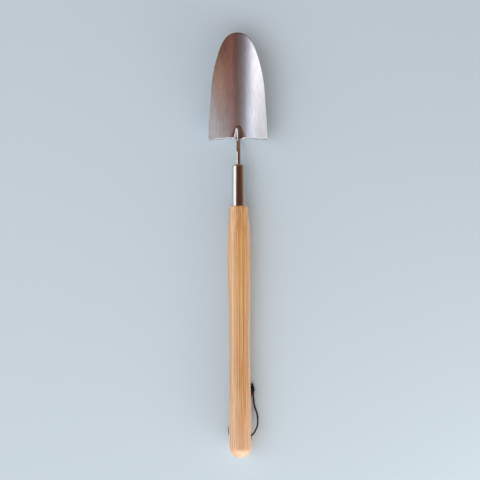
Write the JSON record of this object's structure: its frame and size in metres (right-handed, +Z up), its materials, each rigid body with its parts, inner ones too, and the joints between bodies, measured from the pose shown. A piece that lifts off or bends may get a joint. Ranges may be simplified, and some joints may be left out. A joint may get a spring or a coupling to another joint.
{
  "type": "hand trowel",
  "caption": "Long-handled hand trowel: pressed trough blade, cranked round shank, tapered ferrule, turned wooden handle and a leather hanging lace.",
  "frame": {"origin": "on the surface the trowel lies on, under the middle of its length and width, lace left out", "axes": "+Y from the butt of the handle to the tip of the blade, +Z up out of the hollow of the blade, +X to the right seen from above"},
  "size_m": [0.0796, 0.5562, 0.0326],
  "materials": {
    "blade_steel": "satin stainless sheet, brushed along its length",
    "shank_steel": "bright drawn stainless rod",
    "weld_steel": "cleaned weld metal, slightly rough",
    "braze": "thin braze fillet",
    "ferrule_polish": "polished stainless tube",
    "ash_wood": "ash, turned and sanded, satin oil finish",
    "lace_leather": "dark brown round leather lace"
  },
  "bodies": {
    "root": {"blade": "blade_steel", "shank": "shank_steel", "blade_weld": "weld_steel", "nose_braze": "braze", "ferrule": "ferrule_polish", "ferrule_pin": "shank_steel", "handle": "ash_wood", "lace_right": "lace_leather", "lace_left": "lace_leather", "lace_knot": "lace_leather"}
  },
  "joints": []
}
